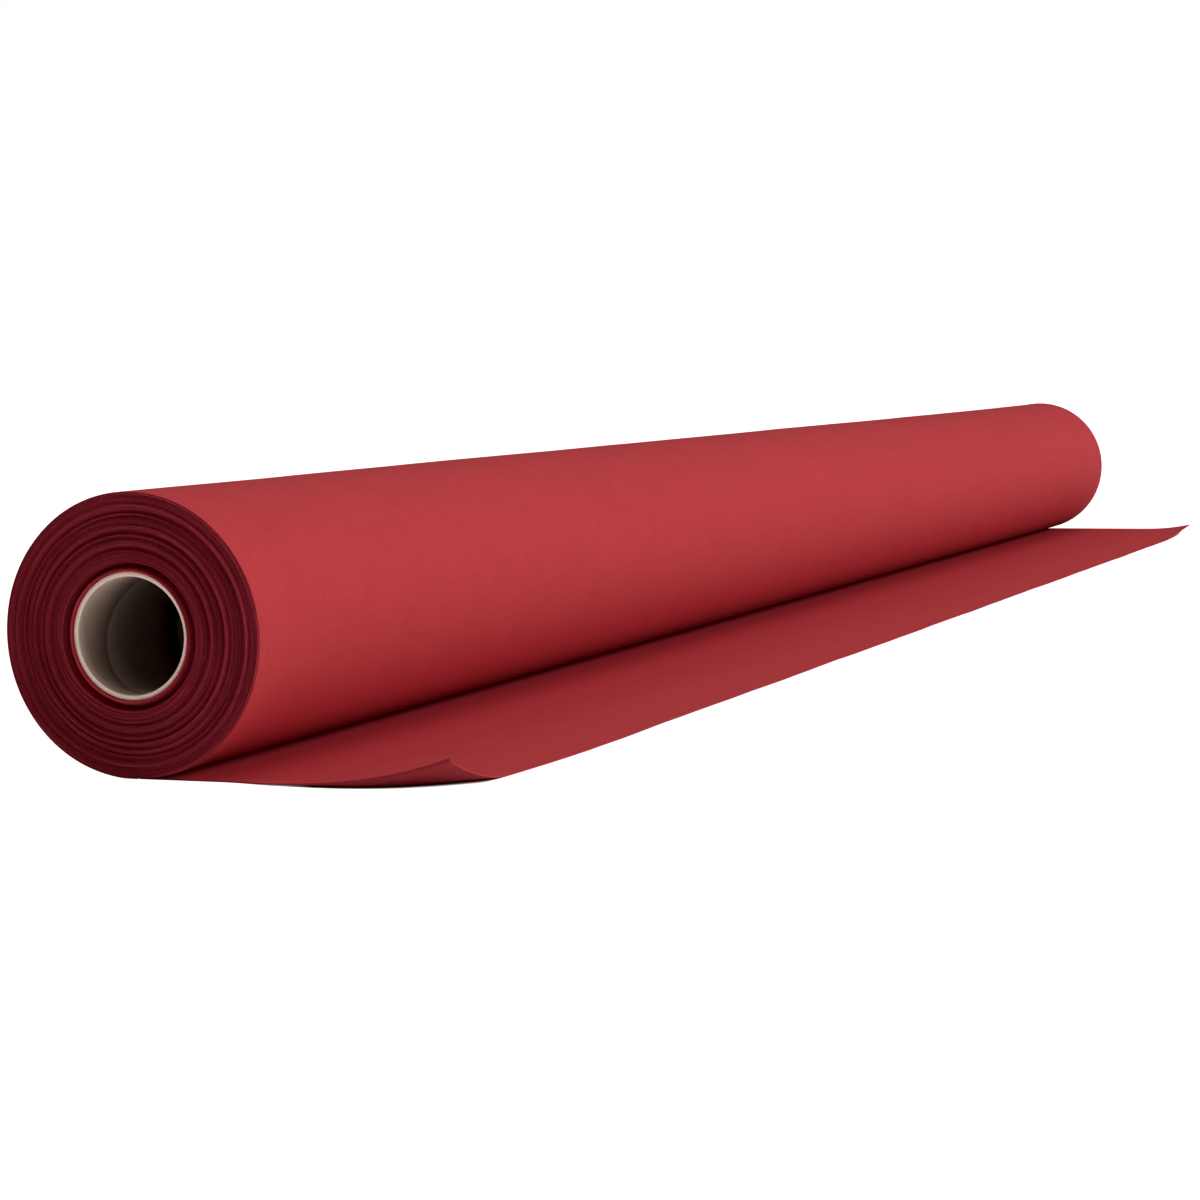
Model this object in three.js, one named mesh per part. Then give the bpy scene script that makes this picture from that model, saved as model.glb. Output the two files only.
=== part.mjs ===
// A roll of airlaid tablecloth lying on a table, with its loose end drawn out in front of it.
// Millimetres, +Z up. The roll's axis runs along X, and the loose end lies towards -Y.
// The origin is the middle of the narrow flat that the roll rests on.

import * as THREE from 'three';

// Driving dimensions.
const clothWidth = 1200;
const coreOuterRadius = 18.4;
const coreWall = 1.5;
const rollRadius = 41.5;
const restHalfWidth = 6;
const sheetThickness = 1;
const looseReach = 103;
const airGap = 0.3;

// The smoothness of the round outlines, in straight sides for one full turn.
const coreSides = 64;
const rollSides = 128;

// The near selvedge curls up, highest at the corner and fading along alongSide towards the roll. The
// curl is widthAtCut wide at the cut edge and narrows over narrowsOver to widthInside.
const nearCurl = { lift: 8, alongSide: 95, fade: 3.5, power: 1.4 };
const nearCurlWidth = { widthAtCut: 30, widthInside: 4, narrowsOver: 32, fade: 2.2 };

// The far corner only lifts, past a slanting line that meets the cut edge alongCut from the corner
// and the selvedge alongSide from it.
const farFold = { alongCut: 110, alongSide: 34, lift: 2.3, power: 1.6 };

// The stretches where the cut edge draws in towards the roll, one beside each corner.
const drawIns = [
  { corner: 'near', alongCut: 85, depth: 6.4 },
  { corner: 'far', alongCut: 120, depth: 4.7 },
];
const drawInFade = 60;

// The grid of the loose end: bands of cells across the cloth and from the cut edge to the roll.
const widthBands = [
  { upTo: 6, cells: 4 },
  { upTo: 30, cells: 10 },
  { upTo: 90, cells: 5 },
  { upTo: clothWidth - 120, cells: 4 },
  { upTo: clothWidth, cells: 12 },
];
const reachBands = [
  { upTo: 30, cells: 10 },
  { upTo: 70, cells: 8 },
  { upTo: looseReach - restHalfWidth - airGap, cells: 1 },
];

// What the dimensions give.
const axisHeight = Math.sqrt(rollRadius ** 2 - restHalfWidth ** 2);
const coreInnerRadius = coreOuterRadius - coreWall;
const boreRadius = coreOuterRadius + airGap;
const plyStep = sheetThickness + airGap;

const clothRed = { color: 0xa12f37, roughness: 0.95, metalness: 0 };
const coreBoard = { color: 0xbda68c, roughness: 0.9, metalness: 0 };

// Turns a section drawn in the YZ plane into a solid that runs the cloth's whole width along X.
function alongRoll(section, curveSegments) {
  const geometry = new THREE.ExtrudeGeometry(section, {
    depth: clothWidth,
    bevelEnabled: false,
    curveSegments,
  });
  const axes = new THREE.Matrix4().makeBasis(
    new THREE.Vector3(0, 1, 0),
    new THREE.Vector3(0, 0, 1),
    new THREE.Vector3(1, 0, 0),
  );
  geometry.applyMatrix4(axes);
  geometry.translate(-clothWidth / 2, 0, 0);
  return geometry;
}

function circleAtAxis(radius) {
  const circle = new THREE.Path();
  circle.absarc(0, axisHeight, radius, 0, 2 * Math.PI, false);
  return circle;
}

function coreTube() {
  const section = new THREE.Shape();
  section.absarc(0, axisHeight, coreOuterRadius, 0, 2 * Math.PI, false);
  section.holes.push(circleAtAxis(coreInnerRadius));
  return alongRoll(section, coreSides);
}

// The wound cloth: its outer ply leaves the flat at the back, goes over the top and comes down the
// front, closer to the axis by one ply, to end in a step over the start of the loose end.
function woundRoll() {
  const firstAngle = Math.asin(restHalfWidth / rollRadius);
  const lastAngle = 2 * Math.PI - Math.asin(restHalfWidth / (rollRadius - plyStep));
  const section = new THREE.Shape();
  section.moveTo(-restHalfWidth, 0);
  section.lineTo(restHalfWidth, 0);
  for (let side = 1; side < rollSides; side += 1) {
    const angle = firstAngle + (side / rollSides) * (lastAngle - firstAngle);
    const radius = rollRadius - (plyStep * angle) / (2 * Math.PI);
    section.lineTo(radius * Math.sin(angle), axisHeight - radius * Math.cos(angle));
  }
  section.lineTo(-restHalfWidth, axisHeight - (rollRadius - plyStep) * Math.cos(lastAngle));
  section.holes.push(circleAtAxis(boreRadius));
  return alongRoll(section, coreSides);
}

// The grid lines of a row of bands, each band divided evenly.
function gridLines(bands) {
  const lines = [0];
  for (const { upTo, cells } of bands) {
    const from = lines[lines.length - 1];
    for (let cell = 1; cell <= cells; cell += 1) {
      lines.push(from + ((upTo - from) * cell) / cells);
    }
  }
  return lines;
}

function fromCorner(corner, across) {
  return corner === 'near' ? across : clothWidth - across;
}

// The height of the near curl: its height at the selvedge there, spent across its width there.
function nearCurlHeight(across, inward) {
  const { widthAtCut, widthInside, narrowsOver } = nearCurlWidth;
  const narrowed = Math.max(0, 1 - inward / narrowsOver) ** nearCurlWidth.fade;
  const width = widthInside + (widthAtCut - widthInside) * narrowed;
  const atSelvedge = nearCurl.lift * Math.max(0, 1 - inward / nearCurl.alongSide) ** nearCurl.fade;
  return atSelvedge * Math.max(0, 1 - across / width) ** nearCurl.power;
}

function farFoldHeight(across, inward) {
  const { alongCut, alongSide, lift, power } = farFold;
  const past = 1 - fromCorner('far', across) / alongCut - inward / alongSide;
  return lift * Math.max(0, past) ** power;
}

// A point of the loose end's underside, across from the near selvedge and inward from the cut edge.
function sheetPoint(across, inward) {
  const height = nearCurlHeight(across, inward) + farFoldHeight(across, inward);
  const point = new THREE.Vector3(across - clothWidth / 2, inward - looseReach, height);
  for (const { corner, alongCut, depth } of drawIns) {
    const past = Math.max(0, 1 - fromCorner(corner, across) / alongCut);
    point.y += depth * past ** 2 * Math.max(0, 1 - inward / drawInFade);
  }
  return point;
}

// The loose end as one closed sheet: an underside and a top on the same grid, joined round the rim.
function looseEnd() {
  const columns = gridLines(widthBands);
  const rows = gridLines(reachBands);
  const layerSize = columns.length * rows.length;
  const positions = [];
  for (const height of [0, sheetThickness]) {
    for (const inward of rows) {
      for (const across of columns) {
        const { x, y, z } = sheetPoint(across, inward);
        positions.push(x, y, z + height);
      }
    }
  }

  const indices = [];
  const addQuad = (a, b, c, d) => indices.push(a, b, c, a, c, d);
  const corner = (column, row) => row * columns.length + column;
  const lastColumn = columns.length - 1;
  const lastRow = rows.length - 1;
  for (let row = 0; row < lastRow; row += 1) {
    for (let column = 0; column < lastColumn; column += 1) {
      const ring = [
        corner(column, row),
        corner(column + 1, row),
        corner(column + 1, row + 1),
        corner(column, row + 1),
      ];
      addQuad(...ring.map((index) => index + layerSize));
      addQuad(...ring.reverse());
    }
  }
  const addRim = (a, b) => addQuad(a, b, b + layerSize, a + layerSize);
  for (let column = 0; column < lastColumn; column += 1) {
    addRim(corner(column, 0), corner(column + 1, 0));
    addRim(corner(column + 1, lastRow), corner(column, lastRow));
  }
  for (let row = 0; row < lastRow; row += 1) {
    addRim(corner(0, row + 1), corner(0, row));
    addRim(corner(lastColumn, row), corner(lastColumn, row + 1));
  }

  const geometry = new THREE.BufferGeometry();
  geometry.setAttribute('position', new THREE.Float32BufferAttribute(positions, 3));
  geometry.setIndex(indices);
  geometry.computeVertexNormals();
  return geometry;
}

function addPiece(group, name, geometry, finish) {
  const mesh = new THREE.Mesh(geometry, new THREE.MeshStandardMaterial(finish));
  mesh.name = name;
  group.add(mesh);
}

const tableclothRoll = new THREE.Group();
addPiece(tableclothRoll, 'core_tube', coreTube(), coreBoard);
addPiece(tableclothRoll, 'wound_roll', woundRoll(), clothRed);
addPiece(tableclothRoll, 'loose_end', looseEnd(), clothRed);

export default tableclothRoll;
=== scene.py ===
import math

import bmesh
import bpy
import numpy as np
from mathutils import Matrix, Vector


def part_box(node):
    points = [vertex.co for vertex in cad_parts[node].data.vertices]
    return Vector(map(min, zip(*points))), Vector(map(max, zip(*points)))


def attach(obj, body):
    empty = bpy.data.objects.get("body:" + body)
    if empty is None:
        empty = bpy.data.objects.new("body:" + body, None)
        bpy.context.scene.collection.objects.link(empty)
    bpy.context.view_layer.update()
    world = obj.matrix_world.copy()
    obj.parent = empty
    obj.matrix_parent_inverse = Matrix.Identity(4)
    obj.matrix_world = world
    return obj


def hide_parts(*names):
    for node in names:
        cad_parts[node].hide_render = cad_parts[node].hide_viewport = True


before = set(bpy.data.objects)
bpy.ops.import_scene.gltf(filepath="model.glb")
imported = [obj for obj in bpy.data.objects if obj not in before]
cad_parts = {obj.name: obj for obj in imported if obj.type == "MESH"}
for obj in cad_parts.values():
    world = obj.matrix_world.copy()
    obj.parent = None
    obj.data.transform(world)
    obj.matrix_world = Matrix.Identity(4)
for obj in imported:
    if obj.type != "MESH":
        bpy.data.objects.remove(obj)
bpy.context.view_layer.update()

# ==== Core tube ==============================================================================
# A spiral-wound tube of unbleached paper board, open at both ends, that the cloth is wound on.
# The innermost ply is a paper strip whose edges meet in one helical seam. Both ends are sawn
# square, and the tube is a hair longer than the cloth is wide.

core_low, core_high = (np.array(corner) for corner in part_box("core_tube"))
half_width = core_high[0]
core_radius = (core_high[2] - core_low[2]) / 2
axis_height = (core_high[2] + core_low[2]) / 2
core_wall = 0.0015
core_proud = 0.0007
core_columns = 96
sawn_edge_radius = 0.0004

# The seam is a shallow groove that moves along the tube by seam_lead in a full turn. At the back
# of the bore its first turn is seam_from_end inside the near end. Between two turns of it the
# plain wall has rows at the plain_rows shares of a lead. The helix starts spare_leads before the
# near end and stops as many past the far one.
seam_lead = 0.042
seam_depth = 0.00015
seam_half_floor = 0.0006
seam_half_mouth = 0.00096
seam_from_end = 0.0158
plain_rows = (0.35, 0.7)
spare_leads = 2

# Board colours, a darker and a paler one where they vary. Inside, painted shade grows to
# shade_below at the bottom, and to shade_inside at shade_inside_full from the end.
pulp_brown = ((0.67, 0.495, 0.40), (0.84, 0.655, 0.53))
pulp_fibre = (0.92, 0.73, 0.62)
dark_fleck = (0.25, 0.18, 0.14)
glued_seam = (0.46, 0.35, 0.28)
shaded_below = (0.25, 0.20, 0.165)
shaded_inside = (0.10, 0.08, 0.065)
torn_fibre = ((0.74, 0.60, 0.52), (0.95, 0.81, 0.73))
fleck_share = 0.4
shade_below = 0.55
shade_inside = 0.7
shade_inside_full = 0.022


def spin(profile_x, profile_radius, columns):
    """A profile carried round the roll's axis: point (j, k) is profile point j turned by k of
    columns equal steps, from the bottom by the back and the top to the front."""
    angle = 2 * np.pi * np.arange(columns) / columns
    x = np.repeat(profile_x[:, None], columns, axis=1)
    y = profile_radius[:, None] * np.sin(angle)
    z = axis_height - profile_radius[:, None] * np.cos(angle)
    return np.stack([x, y, z], axis=-1)


def grid_quads(rows, columns, first=0, wrap_shift=None):
    """Quads between neighbouring grid points, numbered row by row from first. With wrap_shift the
    last column joins the first, wrap_shift rows further on."""
    number = first + np.arange(rows * columns).reshape(rows, columns)
    quads = [np.stack([number[:-1, :-1], number[:-1, 1:], number[1:, 1:], number[1:, :-1]], -1)]
    if wrap_shift is not None:
        last = number[max(0, -wrap_shift):rows - max(0, wrap_shift), -1]
        start = number[max(0, wrap_shift):rows - max(0, -wrap_shift), 0]
        quads.append(np.stack([last[:-1], start[:-1], start[1:], last[1:]], -1))
    return np.concatenate([q.reshape(-1, 4) for q in quads])


def piece_from(name, points, quads, weld, sharp_degrees):
    """A mesh object of these points and quads, with points closer than weld made one, normals
    turned outwards, and edges steeper than sharp_degrees kept crisp."""
    mesh = bpy.data.meshes.new(name)
    mesh.from_pydata(points.tolist(), [], quads.tolist())
    work = bmesh.new()
    work.from_mesh(mesh)
    bmesh.ops.remove_doubles(work, verts=work.verts, dist=weld)
    bmesh.ops.dissolve_degenerate(work, edges=work.edges, dist=weld / 2)
    bmesh.ops.recalc_face_normals(work, faces=work.faces)
    work.to_mesh(mesh)
    work.free()
    mesh.polygons.foreach_set("use_smooth", np.ones(len(mesh.polygons), bool))
    mesh.set_sharp_from_angle(angle=math.radians(sharp_degrees))
    piece = bpy.data.objects.new(name, mesh)
    bpy.context.scene.collection.objects.link(piece)
    return piece


def core_surface():
    """The outer wall and the two sawn rims are one profile spun round, with each sawn edge rounded
    by two short slants. The inner wall is a grid whose rows run along the helix, x = start + lead
    * (turn + angle from the back / full turn), cut off at the ends, and is pushed outwards
    between the two edges of the strip to make the seam."""
    end = half_width + core_proud
    inner = core_radius - core_wall
    bend = sawn_edge_radius
    rim_x = np.array([end - bend, end - bend / 4, end, end, end - bend / 4, end - bend])
    rim_radius = np.array([inner, inner + bend / 2, inner + bend,
                           core_radius - bend, core_radius - bend / 2, core_radius])
    outer_x = np.concatenate([rim_x, [end / 3, -end / 3], -rim_x[::-1]])
    outer_radius = np.concatenate([rim_radius, [core_radius] * 2, rim_radius[::-1]])
    outside = spin(outer_x, outer_radius, core_columns)

    across_seam = [-seam_half_mouth, -seam_half_floor, seam_half_floor, seam_half_mouth]
    along_lead = np.array(across_seam + [seam_lead * share for share in plain_rows])
    deep_in_lead = np.array([0, seam_depth, seam_depth, 0] + [0] * len(plain_rows))
    leads = np.arange(-spare_leads, int(2 * end / seam_lead) + 1 + spare_leads)
    along = (along_lead + seam_lead * leads[:, None]).ravel()
    deep = np.tile(deep_in_lead, len(leads))
    angle = 2 * np.pi * np.arange(core_columns) / core_columns
    from_back = angle / (2 * np.pi) - 1 / 4
    x = along[:, None] - half_width + seam_from_end + seam_lead * from_back
    inside_x = np.clip(x, -(end - bend), end - bend)
    held = np.abs(inside_x) < end - bend
    radius = inner + np.where(held, deep[:, None], 0)
    inside = np.stack([inside_x, radius * np.sin(angle), axis_height - radius * np.cos(angle)], -1)

    rows_out, rows_in = len(outer_x), len(along)
    points = np.concatenate([outside.reshape(-1, 3), inside.reshape(-1, 3)])
    quads = np.concatenate([
        grid_quads(rows_out, core_columns, 0, 0),
        grid_quads(rows_in, core_columns, rows_out * core_columns, len(along_lead)),
    ])
    return points, quads


def shader_of(material, kind="ShaderNodeBsdfPrincipled"):
    material.use_nodes = True
    return next(node for node in material.node_tree.nodes if node.bl_idname == kind)


def add_node(material, kind, **settings):
    """A node of this kind, whose plain settings and named inputs are given by name."""
    node = material.node_tree.nodes.new("ShaderNode" + kind)
    for key, value in settings.items():
        if hasattr(node, key):
            setattr(node, key, value)
        else:
            node.inputs[key.replace("_", " ")].default_value = value
    return node


def join(material, source, target):
    material.node_tree.links.new(source, target)


def noise(material, coordinates, scale, detail, roughness=0.5, distortion=0.0):
    node = add_node(material, "TexNoise", Scale=scale, Detail=detail, Roughness=roughness,
                    Distortion=distortion)
    join(material, coordinates, node.inputs["Vector"])
    return node.outputs["Fac"]


def spread(material, value, low, high, to_low=0, to_high=1):
    """value between low and high, stretched to run from to_low to to_high."""
    node = add_node(material, "MapRange", From_Min=low, From_Max=high, To_Min=to_low,
                    To_Max=to_high)
    join(material, value, node.inputs["Value"])
    return node.outputs["Result"]


def combine(material, operation, first, second=0):
    """first and second put together by this sum; second may be a number or a socket."""
    node = add_node(material, "Math", operation=operation)
    join(material, first, node.inputs[0])
    if hasattr(second, "links"):
        join(material, second, node.inputs[1])
    else:
        node.inputs[1].default_value = second
    return node.outputs[0]


def tint(material, factor, first, second):
    """A blend of two colours, each a socket or a plain colour, by factor."""
    node = add_node(material, "Mix", data_type="RGBA")
    join(material, factor, node.inputs[0])
    for socket, colour in ((node.inputs[6], first), (node.inputs[7], second)):
        if hasattr(colour, "links"):
            join(material, colour, socket)
        else:
            socket.default_value = (*colour, 1)
    return node.outputs[2]


def relief(material, shader, height, strength, distance):
    node = add_node(material, "Bump", Strength=strength, Distance=distance)
    join(material, height, node.inputs["Height"])
    join(material, node.outputs["Normal"], shader.inputs["Normal"])


def marked(material, name):
    return add_node(material, "Attribute", attribute_name=name).outputs["Fac"]


def board_material():
    """Grey-brown paper board: long pulp fibres along the tube, and small dark flecks. Painted
    shade makes it darker below than above and past the first centimetres of the bore. The seam,
    marked by the attribute seam, is darker too. The sawn ends, marked by sawn, are paler, with the
    fibres torn up."""
    material = bpy.data.materials.new("core_board")
    shader = shader_of(material)
    place = add_node(material, "TexCoord").outputs["Object"]
    stretched = add_node(material, "Mapping", Scale=(0.25, 1, 1))
    join(material, place, stretched.inputs["Vector"])
    fibres = noise(material, stretched.outputs["Vector"], scale=2600, detail=5, roughness=0.65)
    clouds = noise(material, place, scale=160, detail=3)
    flecks = spread(material, noise(material, place, scale=1900, detail=2), 0.62, 0.70)
    wall = tint(material, clouds, *pulp_brown)
    wall = tint(material, spread(material, fibres, 0.35, 0.7), wall, pulp_fibre)
    wall = tint(material, combine(material, "MULTIPLY", flecks, fleck_share), wall, dark_fleck)
    wall = tint(material, marked(material, "seam"), wall, glued_seam)

    # Painted shade: darker towards the bottom, and darker deeper in the bore.
    apart = add_node(material, "SeparateXYZ")
    join(material, place, apart.inputs[0])
    low = spread(material, apart.outputs["Z"], axis_height - core_radius,
                 axis_height + core_radius, shade_below, 0)
    wall = tint(material, low, wall, shaded_below)
    from_middle = combine(material, "ABSOLUTE", apart.outputs["X"])
    deep = spread(material, from_middle, half_width - shade_inside_full, half_width,
                  shade_inside, 0)
    wall = tint(material, deep, wall, shaded_inside)

    torn = tint(material, spread(material, fibres, 0.3, 0.7), *torn_fibre)
    coloured = tint(material, marked(material, "sawn"), wall, torn)
    join(material, coloured, shader.inputs["Base Color"])
    join(material, spread(material, fibres, 0, 1, 0.78, 0.95), shader.inputs["Roughness"])
    relief(material, shader, fibres, strength=0.5, distance=0.0001)
    return material


def vertices_of(piece):
    found = np.empty(len(piece.data.vertices) * 3)
    piece.data.vertices.foreach_get("co", found)
    return found.reshape(-1, 3)


def mark(piece, name, share):
    """Stores on the mesh how far each vertex has the named finish: 0 is not at all, 1 is fully."""
    marks = piece.data.attributes.new(name, "FLOAT", "POINT")
    marks.data.foreach_set("value", share.astype(np.float32))


core = piece_from("core", *core_surface(), weld=2e-6, sharp_degrees=30)
core.data.materials.append(board_material())
core_points = vertices_of(core)
core_reach = np.hypot(core_points[:, 1], core_points[:, 2] - axis_height)
seam_floor = core_radius - core_wall + seam_depth
mark(core, "sawn", np.abs(core_points[:, 0]) > half_width + core_proud - sawn_edge_radius / 2)
mark(core, "seam", np.abs(core_reach - seam_floor) < seam_depth / 4)
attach(core, "root")
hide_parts("core_tube")

# ==== Wound cloth ============================================================================
# About ten metres of airlaid, a soft paper-like cloth of short fibres bonded without weaving,
# wound tight on the core. Its edge wandered as it was wound, so that at both ends some turns
# stand out as ridges and some lie back as grooves. The roll's weight presses a small flat.

ply = 0.00042
roll_columns = 180
rows_in_ply = 4
core_clearance = 0.00005
outermost_radius = 0.0413
innermost_radius = core_radius + core_clearance
turns_wound = round((outermost_radius - innermost_radius) / ply)

# How far the cloth's edge stands out past the roll's width, turn by turn from the core.
edge_wander = np.array([
    # turn, millimetres out
    (0.0, 1.6),
    (0.9, 1.75),
    (2.0, 1.2),
    (2.9, 0.1),
    (4.3, -1.5),
    (5.85, 0.2),
    (7.15, 2.1),
    (9.5, 2.1),
    (13.55, 1.6),
    (15.95, 0.65),
    (18.95, 2.1),
    (20.65, 1.35),
    (22.15, 0.6),
    (24.45, 1.45),
    (26.7, 0.2),
    (29.3, 1.8),
    (31.8, 0.55),
    (33.6, 1.0),
    (36.9, -0.15),
    (38.4, 0.4),
    (40.8, -0.25),
    (43.8, 1.2),
    (45.6, 0.4),
    (48.0, 0.55),
    (51.0, 0.45),
    (55.0, 0.35),
])
edge_ripples = np.array([
    # waves in a turn, millimetres, phase
    (0.83, 0.09, 0.4),
    (1.71, 0.07, 2.1),
    (2.63, 0.05, 4.0),
    (4.37, 0.03, 1.2),
    (7.19, 0.02, 5.1),
])
far_end_share = 0.9
ply_gap_depth = 0.0001
shoulder_drop = 0.000025

# The roll has sagged a little from the round. Close to its near end it is slimmer at the sides,
# and towards its far end it flares, most at the top. by and uneven are metres off the radius,
# the second in lobes round the roll, and length is how far in they reach.
sag = 0.00005
least_cosine = 0.2
near_taper = dict(by=0.00015, uneven=-0.00015, lobes=2, length=0.012)
far_taper = dict(by=-0.0003, uneven=0.0005, lobes=1, length=0.080)

# The outermost plies turn over in a soft lip, which is deepest just in front of the bottom, where
# the loose end leaves.
lip_width = 0.0016
lip_depth = 0.0007
lip_low_depth = 0.0018
lip_low_power = 8
lip_lowest = math.radians(350)

# Soft unevenness of the roll's outside: waves along it and round it. They fade out over wave_fade
# of the length at both ends, and at the bottom.
outside_waves = np.array([
    # waves along the roll, waves round it, millimetres, phase
    (3.1, 1, 0.05, 0.6),
    (5.3, 2, 0.04, 2.0),
    (9.7, 3, 0.025, 4.4),
    (14.3, 1, 0.02, 1.1),
])
wave_fade = 0.04
wave_fade_below = 2

# Where the outside has its rings, in metres from the near end: close together at both ends.
outside_rings = np.concatenate([
    [0.0002, 0.0008, 0.003, 0.010],
    np.linspace(0.03, 1.17, 39),
    [1.190, 1.197, 1.1992, 1.1998],
])

# The cut edges lie within cut_face_depth of the roll's width. The outermost_face share of the
# last ply turns over in the lip and shows its face. The first plies on the core are lighter. That
# fades between starts and starts + 1, counted from the core in steps of count plies.
cut_face_depth = 0.0045
outermost_face = 0.3
first_plies = dict(count=2, starts=0.3, lightness=2.5)

# Cloth colours, a darker and a lighter one where they vary.
cloth_red = ((0.330, 0.0398, 0.0447), (0.360, 0.0456, 0.0507))
mottled_red = (0.375, 0.0544, 0.0612)
fibre_red = (0.405, 0.070, 0.077)
# The cut edge's red is partly its own deeper colour and partly painted shade, between the plies
# and under the loose end.
cut_edge_and_shade_red = ((0.210, 0.0240, 0.0370), (0.320, 0.0405, 0.0585))
single_ply_red = (0.60, 0.072, 0.092)
# Painted reflection and painted shade: a redder tone where cloth faces cloth, and a dark one deep
# in the crevice, both found by ambient occlusion within the reach below.
painted_bounce_red = (0.390, 0.0260, 0.0400)
painted_crevice_shade = (0.16, 0.012, 0.014)
single_ply_share = 0.15
painted_shade_reach = 0.050


def eased(x, at, values):
    """values at the places at, joined by half waves of a cosine so that every place is level."""
    step = np.clip(np.searchsorted(at, x, side="right") - 1, 0, len(at) - 2)
    along = np.clip((x - at[step]) / (at[step + 1] - at[step]), 0, 1)
    return values[step] + (values[step + 1] - values[step]) * (1 - np.cos(np.pi * along)) / 2


def settled(radius, angle):
    """The radius after the roll has sunk on its flat: near the bottom the outermost ply is drawn
    in to the table's height, axis height / cos angle, and the plies inside it less, by the square
    of their share of the way out from the core. least_cosine keeps the height finite on the rest
    of the turn, which stays round."""
    level = axis_height / (outermost_radius * np.maximum(np.cos(angle), least_cosine))
    share = np.clip((radius - innermost_radius) / (outermost_radius - innermost_radius), 0, 1)
    return radius * (1 - (1 - np.minimum(1, level)) * share ** 2)


def slimming(angle, share, taper):
    """How much slimmer the roll's end is than its middle: the taper, in shallow lobes round the
    roll, times the fourth power of the share of the way out from the core."""
    around = taper["by"] + taper["uneven"] * np.cos(taper["lobes"] * angle)
    return around * np.clip(share, 0, 1) ** 4


def wound_surface():
    """Each end is a spiral grid: radius = innermost + ply * (row / rows in a ply - angle / full
    turn), no less than where the first ply starts, and each turn's last column joins the next
    turn's first. The end stands out by the edge's wander at that turn and its ripples, sines of
    the winding, less a gap between plies and their round shoulders, and less the lip, its depth
    there * (way past the lip's start / lip width) ** 2. The outside is the outermost row carried
    along the roll, with the step where the loose end leaves, plus the waves, a sine along the
    roll * a cosine round it, less each end's slimming * exp(-distance from that end / its
    length)."""
    angle = 2 * np.pi * np.arange(roll_columns) / roll_columns
    rows = turns_wound * rows_in_ply + 1
    row = np.arange(rows)
    start = 1 / roll_columns
    winding = np.maximum(row[:, None] / rows_in_ply - angle / (2 * np.pi), start)
    radius = settled(innermost_radius + ply * winding, angle)
    share = (radius - innermost_radius) / (outermost_radius - innermost_radius)
    radius = radius - sag * (1 - np.cos(angle)) / 2 * np.clip(share, 0, 1)

    out = eased(winding, edge_wander[:, 0], edge_wander[:, 1])
    for waves, height, phase in edge_ripples:
        out = out + height * np.sin(2 * np.pi * waves * winding + phase)
    out = out / 1000
    low = np.maximum(0, np.cos(angle - lip_lowest)) ** lip_low_power
    lip = lip_depth + lip_low_depth * low
    past_lip = np.clip((share - 1) * (outermost_radius - innermost_radius) / lip_width + 1, 0, 1)
    out = out - lip * past_lip ** 2
    between = (row % rows_in_ply == 0)[:, None]
    shoulder = (row % rows_in_ply != rows_in_ply // 2)[:, None] & ~between
    begun = np.clip((winding - start) * rows_in_ply, 0, 1)
    out = out - (ply_gap_depth * between + shoulder_drop * shoulder) * begun
    ends = []
    for side, out_share, taper in ((-1, 1.0, near_taper), (1, far_end_share, far_taper)):
        x = side * (half_width + out * out_share)
        slim = radius - slimming(angle, share, taper)
        ends.append(np.stack([x, slim * np.sin(angle), axis_height - slim * np.cos(angle)], -1))

    step_rows = np.arange(rows - 1 - rows_in_ply, rows - 1)
    rim = np.concatenate([(rows - 1) * roll_columns + np.arange(roll_columns),
                          step_rows * roll_columns])
    near_rim, far_rim = (end.reshape(-1, 3)[rim] for end in ends)
    rim_radius, rim_share = radius.ravel()[rim], share.ravel()[rim]
    rim_angle = np.concatenate([angle, np.zeros(rows_in_ply)])
    along = (outside_rings / (2 * half_width))[:, None]
    swell = sum(height / 1000 * np.sin(2 * np.pi * waves * along + phase)
                * np.cos(lobes * rim_angle) for waves, lobes, height, phase in outside_waves)
    swell = swell * np.minimum(1, np.minimum(along, 1 - along) / wave_fade)
    swell = swell * np.clip((1 - np.cos(rim_angle)) * wave_fade_below, 0, 1)
    outer_radius = rim_radius + swell
    from_near, from_far = outside_rings, 2 * half_width - outside_rings
    for taper, from_end in ((near_taper, from_near), (far_taper, from_far)):
        slimmed = slimming(rim_angle, rim_share, taper)
        outer_radius = outer_radius - slimmed * np.exp(-from_end[:, None] / taper["length"])
    outside = np.stack([
        near_rim[:, 0] + (far_rim[:, 0] - near_rim[:, 0]) * along,
        outer_radius * np.sin(rim_angle),
        axis_height - outer_radius * np.cos(rim_angle),
    ], -1)

    end_size = rows * roll_columns
    near_bore = np.arange(roll_columns)
    far_bore = end_size + near_bore
    ring_points = np.arange(len(outside_rings) * len(rim)).reshape(len(outside_rings), -1)
    out_rows = np.concatenate([[rim], 2 * end_size + ring_points, [end_size + rim]])
    after = np.roll(out_rows, -1, axis=1)
    quads = np.concatenate([
        grid_quads(rows, roll_columns, 0, -rows_in_ply),
        grid_quads(rows, roll_columns, end_size, -rows_in_ply),
        np.stack([out_rows[:-1], after[:-1], after[1:], out_rows[1:]], -1).reshape(-1, 4),
        np.stack([near_bore, np.roll(near_bore, -1), np.roll(far_bore, -1), far_bore], -1),
    ])
    points = np.concatenate([part.reshape(-1, 3) for part in (*ends, outside)])
    return points, quads


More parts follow.
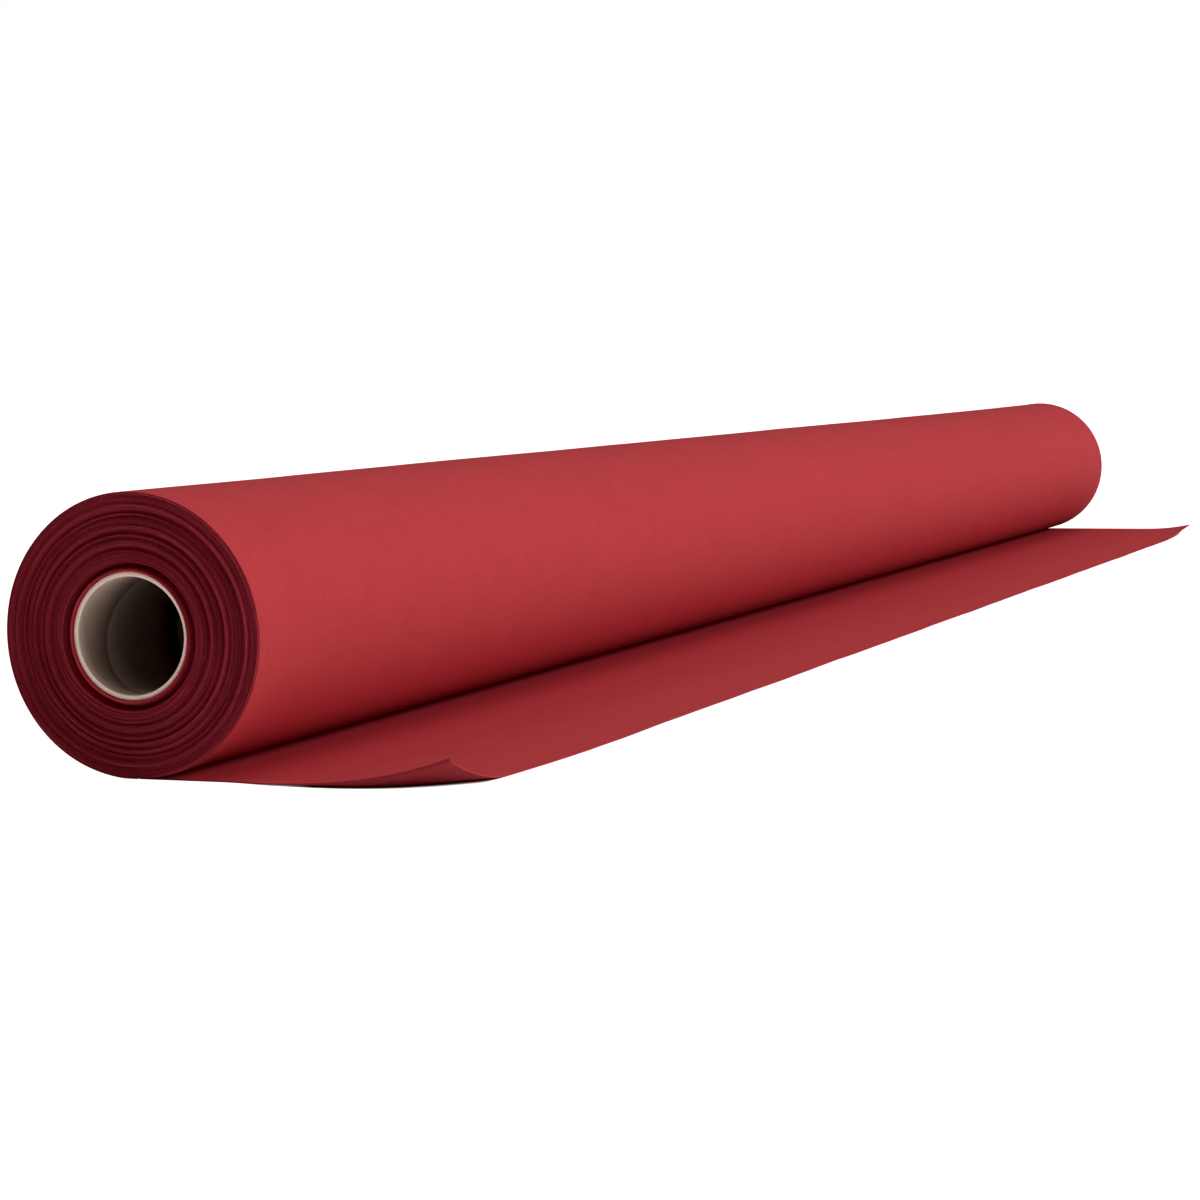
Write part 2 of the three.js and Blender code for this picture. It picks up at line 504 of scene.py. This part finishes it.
def cloth_material():
    """Matt red airlaid: a felt of short fibres, a little cloudy, dry and without gloss. The cut
    edge of the plies, marked by the attribute cut_edge_and_shade, is deeper in colour, partly its
    own and partly painted shade between the plies; on the loose end the mark also paints shade
    below. The loose end and the first plies on the core, marked by single_ply, are lighter. Where
    cloth faces cloth, ambient occlusion paints the red deeper and redder, a painted reflection of
    the light that one dyes for the other, and paints wound cloth darkest deep in the crevice
    between the two, a painted shade."""
    material = bpy.data.materials.new("airlaid_cloth")
    shader = shader_of(material)
    place = add_node(material, "TexCoord").outputs["Object"]
    clouds = noise(material, place, scale=55, detail=4, roughness=0.55)
    mottle = noise(material, place, scale=330, detail=4, roughness=0.6)
    fibres = noise(material, place, scale=1500, detail=6, roughness=0.7, distortion=0.6)
    face = tint(material, spread(material, clouds, 0.3, 0.7), *cloth_red)
    face = tint(material, spread(material, mottle, 0.3, 0.7, 0, 0.5), face, mottled_red)
    face = tint(material, spread(material, fibres, 0.35, 0.75, 0, 0.35), face, fibre_red)
    edge = tint(material, spread(material, fibres, 0.3, 0.7), *cut_edge_and_shade_red)
    single, cut = marked(material, "single_ply"), marked(material, "cut_edge_and_shade")
    lighter = combine(material, "MULTIPLY", single, single_ply_share)
    face = tint(material, lighter, face, single_ply_red)

    # Painted reflection and painted shade: ambient occlusion tints the face redder where cloth
    # faces cloth, and dark deep in the crevice.
    open_air = add_node(material, "AmbientOcclusion", Distance=painted_shade_reach, samples=6)
    open_air = open_air.outputs["AO"]
    painted_bounce = combine(material, "MULTIPLY", spread(material, open_air, 0.10, 0.75, 1, 0),
                           spread(material, cut, 0, 0.3, 1, 0))
    face = tint(material, painted_bounce, face, painted_bounce_red)
    crevice_unshaded = combine(material, "MAXIMUM", spread(material, open_air, 0.02, 0.17), single)
    face = tint(material, crevice_unshaded, painted_crevice_shade, face)
    join(material, tint(material, cut, face, edge), shader.inputs["Base Color"])

    join(material, spread(material, fibres, 0.2, 0.8, 0.86, 1.0), shader.inputs["Roughness"])
    shader.inputs["Specular IOR Level"].default_value = 0.10
    shader.inputs["Sheen Weight"].default_value = 0.02
    shader.inputs["Sheen Roughness"].default_value = 0.6
    shader.inputs["Sheen Tint"].default_value = (1.0, 0.72, 0.70, 1)
    height = combine(material, "ADD", fibres, combine(material, "MULTIPLY", mottle, 0.8))
    relief(material, shader, height, strength=0.35, distance=0.00012)
    return material


airlaid = cloth_material()
roll = piece_from("wound_cloth", *wound_surface(), weld=4e-6, sharp_degrees=55)
roll.data.materials.append(airlaid)
roll_points = vertices_of(roll)
roll_reach = np.hypot(roll_points[:, 1], roll_points[:, 2] - axis_height)
cut_face = np.abs(roll_points[:, 0]) > half_width - cut_face_depth
round_roll = np.arctan2(roll_points[:, 1], axis_height - roll_points[:, 2]) % (2 * np.pi)
slimmed = np.where(roll_points[:, 0] < 0, slimming(round_roll, 1, near_taper),
                   slimming(round_roll, 1, far_taper))
end_radius = settled(outermost_radius - ply * round_roll / (2 * np.pi), round_roll)
end_radius = end_radius - slimmed - sag * (1 - np.cos(round_roll)) / 2
inside_lip = np.clip((end_radius - outermost_face * ply - roll_reach) / ply, 0, 1)
past_core = (roll_reach - innermost_radius) / (first_plies["count"] * ply)
past_core = np.clip(past_core - first_plies["starts"], 0, 1)
# The cut edges are deeper in colour, partly their own and partly painted shade between plies.
mark(roll, "cut_edge_and_shade", cut_face * inside_lip * past_core)
mark(roll, "single_ply", cut_face * (1 - past_core) * first_plies["lightness"])
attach(roll, "root")
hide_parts("wound_roll")

# ==== Loose end ==============================================================================
# The end of the cloth, drawn out on the table from under the roll and cut straight across. The
# cut edge draws in and curls up at both selvedges, most at the near one, and the sheet lies a
# little unevenly between them.

loose_reach = -np.array(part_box("loose_end")[0])[1]

# The near selvedge curls up along its whole length, more and more towards the corner, where the
# curl is also wider, and its very edge bends up steeper in a lip. The curl leans in over the
# sheet by near_lean of its height. The far corner only lifts past a slanting line, which meets
# the cut edge along_cut from the corner and the selvedge along_side from it.
near_curl = dict(lift=0.0089, along_side=0.095, fade=3.6, power=1.8, lip_share=0.06,
                 lip_width=0.0013)
near_curl_width = dict(narrow=0.0045, added=0.0295, along_side=0.034, fade=2.0)
near_lean = 0.16
far_fold = dict(along_cut=0.190, along_side=0.034, lift=0.0029, power=2.4)

# The near selvedge bulges out a little halfway to the roll, and is tucked back beside the roll's
# near end, where the wound plies turn over in their lip.
selvedge_bulge = dict(out=0.0015, middle=0.040, half_length=0.017, along_cut=0.030)
tuck = dict(back=0.0024, starts=0.059, ends=0.077, along_cut=0.050)

# How far each corner of the cut edge is drawn in, how far along the cut that starts, and how
# steeply it grows. Between them the cut strays a little from straight. Both fade out draw_fade
# inside the cut, and the strays within stray_fade of the near selvedge.
corner_draws = (
    dict(corner=-1, along_cut=0.100, depth=0.0064, power=2.0),
    dict(corner=1, along_cut=0.120, depth=0.0047, power=1.1),
)
cut_strays = np.array([
    # waves along the cut, millimetres, phase
    (7.3, 0.16, 0.5),
    (13.1, 0.12, 2.9),
    (23.7, 0.09, 1.3),
    (41.9, 0.05, 4.1),
])
draw_fade = 0.060
stray_fade = 0.12

# Places where the sheet isn't pressed flat: soft mounds, longer along the roll than across it.
mounds = (
    dict(x=-0.40, y=-0.082, along=0.080, across=0.026, lift=0.0006),
    dict(x=-0.17, y=-0.060, along=0.060, across=0.030, lift=0.0005),
    dict(x=0.06, y=-0.090, along=0.090, across=0.022, lift=0.0007),
    dict(x=0.30, y=-0.070, along=0.070, across=0.030, lift=0.0005),
    dict(x=0.50, y=-0.050, along=0.050, across=0.024, lift=0.0006),
)

# Below the axis the roll presses the sheet to nine tenths of a ply, and not at all 5 mm in front.
pressed = dict(share=0.9, slope=0.05)

# How far the sheet has the cut edge's deeper colour: on top in a narrow rim, and below all over
# as painted shade, the underside being in the sheet's own shade, and more in a band of painted
# shade beside the near selvedge. Then how far each side has the lightness of a single ply.
rim_width = 0.0007
rim_tone = 0.5
painted_band_width = 0.0030
painted_band_tone = 0.8
under_tone = 0.30
single_ply_below, single_ply_on_top = 0.85, 1.0

# The sheet's grid lines, in metres from the near selvedge and from the cut edge: closest at the
# curl and the far corner.
across_lines = np.concatenate([
    np.linspace(0, 0.002, 9)[:-1],
    np.linspace(0.002, 0.01, 17)[:-1],
    np.linspace(0.01, 0.04, 31)[:-1],
    np.linspace(0.04, 1.06, 103)[:-1],
    np.linspace(1.06, 1.2, 57),
])
inward_lines = np.concatenate([
    np.linspace(0, 0.04, 27)[:-1],
    np.linspace(0.04, loose_reach, 26),
])


def loose_surface():
    """A grid of a, the way from the near selvedge, and b, the way from the cut edge. The
    underside's height is the sum of the near curl, its lift * (1 - a / its width) ** power, and
    its lip, a share of that lift * (1 - a / lip width) ** 2, the far fold, lift * (1 - a' /
    along_cut - b / along_side) ** power with a' from the far selvedge, and the mounds, lift *
    exp(-distance squared). Across the sheet, points move in by the curl's height * its lean, out
    by a bell curve of b for the bulge, and in by an eased step of b for the tuck. Towards the
    roll they move by each corner's draw, depth * (1 - way from the corner / along_cut) ** power,
    and by the strays, sines of a. The top is the same a ply higher."""
    a, b = np.meshgrid(across_lines, inward_lines)
    x = a - half_width
    y = b - loose_reach
    z = np.zeros_like(a)
    curl, width = near_curl, near_curl_width
    widened = np.maximum(0, 1 - b / width["along_side"]) ** width["fade"]
    wide = width["narrow"] + width["added"] * widened
    side_lift = curl["lift"] * np.maximum(0, 1 - b / curl["along_side"]) ** curl["fade"]
    z = z + side_lift * (1 - curl["lip_share"]) * np.maximum(0, 1 - a / wide) ** curl["power"]
    z = z + side_lift * curl["lip_share"] * np.maximum(0, 1 - a / curl["lip_width"]) ** 2

    bulge = selvedge_bulge
    x = x + near_lean * z - (
        bulge["out"] * np.exp(-((b - bulge["middle"]) / bulge["half_length"]) ** 2)
        * np.maximum(0, 1 - a / bulge["along_cut"]))
    tucked = np.clip((b - tuck["starts"]) / (tuck["ends"] - tuck["starts"]), 0, 1)
    tucked = tucked ** 2 * (3 - 2 * tucked)
    x = x + tuck["back"] * tucked * np.maximum(0, 1 - a / tuck["along_cut"])

    past = 1 - (2 * half_width - a) / far_fold["along_cut"] - b / far_fold["along_side"]
    z = z + far_fold["lift"] * np.maximum(0, past) ** far_fold["power"]
    for draw in corner_draws:
        from_corner = a if draw["corner"] < 0 else 2 * half_width - a
        past = np.maximum(0, 1 - from_corner / draw["along_cut"])
        y = y + draw["depth"] * past ** draw["power"] * np.maximum(0, 1 - b / draw_fade)
    for waves, stray, phase in cut_strays:
        wave = np.sin(2 * np.pi * waves * a / (2 * half_width) + phase)
        wave = wave * np.minimum(1, a / stray_fade)
        y = y + stray / 1000 * wave * np.maximum(0, 1 - b / draw_fade)
    for mound in mounds:
        off = ((x - mound["x"]) / mound["along"]) ** 2 + ((y - mound["y"]) / mound["across"]) ** 2
        z = z + mound["lift"] * np.exp(-off)

    thickness = ply * np.minimum(1, pressed["share"] + (loose_reach - b) / pressed["slope"])
    under = np.stack([x, y, z], -1)
    over = np.stack([x, y, z + thickness], -1)
    rows, columns = a.shape
    points = np.concatenate([under.reshape(-1, 3), over.reshape(-1, 3)])
    number = np.arange(rows * columns).reshape(rows, columns)
    round_rim = np.concatenate([
        number[0, :-1], number[:-1, -1], number[-1, :0:-1], number[:0:-1, 0],
    ])
    after = np.roll(round_rim, -1)
    quads = np.concatenate([
        grid_quads(rows, columns, 0)[:, ::-1],
        grid_quads(rows, columns, rows * columns),
        np.stack([round_rim, after, after + rows * columns, round_rim + rows * columns], -1),
    ])
    rim = np.maximum(np.maximum(0, 1 - a / rim_width), np.maximum(0, 1 - b / rim_width)).ravel()
    painted_band = painted_band_tone * np.maximum(0, 1 - a / painted_band_width).ravel()
    return points, quads, np.concatenate([np.maximum(painted_band, under_tone), rim * rim_tone])


loose_points, loose_quads, loose_edge_and_shade_tone = loose_surface()
loose = piece_from("loose_cloth", loose_points, loose_quads, weld=1e-6, sharp_degrees=50)
loose.data.materials.append(airlaid)
# The mark paints shade all over below and in a band beside the near selvedge, and gives the cut
# edge's colour in a narrow rim on top.
mark(loose, "cut_edge_and_shade", loose_edge_and_shade_tone)
mark(loose, "single_ply",
     np.repeat([single_ply_below, single_ply_on_top], len(loose_edge_and_shade_tone) // 2))
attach(loose, "root")
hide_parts("loose_end")

# ==== Table, light and camera ================================================================
# A plain white table under a dim even sky, with four broad soft lights. The camera looks along
# the roll from beyond its near end. To the camera the table itself glows white, all but a thin
# line close under the cloth in front, where it shows a painted shadow in dark red, so that no
# other shadow shows on it.

table_size = 60
table_white = (0.9, 0.9, 0.9)
# Seen by the camera, the table's colour is a dark red, a painted shadow with painted red bounce,
# which shows only where its glow is cut off under the cloth.
painted_shadow_red = (0.3, 0.13, 0.13)
painted_shadow_reach = 0.0022

# The line fades out between these two y, and behind them the table is all white.
bare_behind = (-0.055, -0.015)

bpy.ops.mesh.primitive_plane_add(size=table_size)
table = bpy.context.object
table.name = "table"
white = bpy.data.materials.new("table_white")
white_shader = shader_of(white)
white_shader.inputs["Roughness"].default_value = 0.9
seen = add_node(white, "LightPath").outputs["Is Camera Ray"]
join(white, tint(white, seen, table_white, painted_shadow_red), white_shader.inputs["Base Color"])
covered = add_node(white, "AmbientOcclusion", Distance=painted_shadow_reach, samples=8)
glow_share = spread(white, covered.outputs["AO"], 0.2, 0.6)
across_table = add_node(white, "SeparateXYZ")
join(white, add_node(white, "TexCoord").outputs["Object"], across_table.inputs[0])
glow_share = combine(white, "MAXIMUM", glow_share, spread(white, across_table.outputs["Y"], *bare_behind))
white_shader.inputs["Emission Color"].default_value = (1, 1, 1, 1)
join(white, combine(white, "MULTIPLY", seen, glow_share), white_shader.inputs["Emission Strength"])
table.data.materials.append(white)

# The camera sees the sky as full white. To the cloth it gives sky_light of that.
sky_light = 0.05
sky = bpy.data.worlds.new("sky")
bpy.context.scene.world = sky
sky_shader = shader_of(sky, "ShaderNodeBackground")
sky_shader.inputs["Color"].default_value = (1, 1, 1, 1)
seen_sky = add_node(sky, "LightPath").outputs["Is Camera Ray"]
join(sky, spread(sky, seen_sky, 0, 1, sky_light, 1), sky_shader.inputs["Strength"])

# Each light's share of full daylight, the side it comes from, counted from straight in front
# towards the near end, its height in degrees, and how wide it is, from edge to edge.
lights = (
    dict(name="front_light", share=0.95, side=-6, height=25, wide=30),
    dict(name="overhead_light", share=0.33, side=0, height=75, wide=50),
    dict(name="back_light", share=0.40, side=180, height=45, wide=60),
    dict(name="end_light", share=0.12, side=80, height=8, wide=30),
)
for light in lights:
    sun = bpy.data.lights.new(light["name"], "SUN")
    sun.energy = light["share"] * math.pi
    sun.angle = math.radians(light["wide"])
    lamp = bpy.data.objects.new(light["name"], sun)
    lamp.rotation_euler = (math.radians(90 - light["height"]), 0, -math.radians(light["side"]))
    bpy.context.scene.collection.objects.link(lamp)

# The tones are a little darker in the middle than straight ones, with the black a hair deeper.
view = bpy.context.scene.view_settings
view.view_transform = "Standard"
view.gamma = 0.85
view.use_curve_mapping = True
view.curve_mapping.black_level = (0.006, 0.006, 0.006)
view.curve_mapping.update()

camera_place = (-1.3346, -0.4189, 0.1173)
camera_heading = math.radians(69.32)
camera_pitch = math.radians(-4.666)
camera_roll = math.radians(-0.922)
camera_lens = 89.08

lens = bpy.data.cameras.new("camera")
lens.sensor_width = 36
lens.lens = camera_lens
lens.clip_start = 0.01
camera = bpy.data.objects.new("camera", lens)
turned = (Matrix.Rotation(-camera_heading, 4, "Z")
          @ Matrix.Rotation(math.pi / 2 + camera_pitch, 4, "X")
          @ Matrix.Rotation(camera_roll, 4, "Z"))
camera.matrix_world = Matrix.Translation(camera_place) @ turned
bpy.context.scene.collection.objects.link(camera)
bpy.context.scene.camera = camera
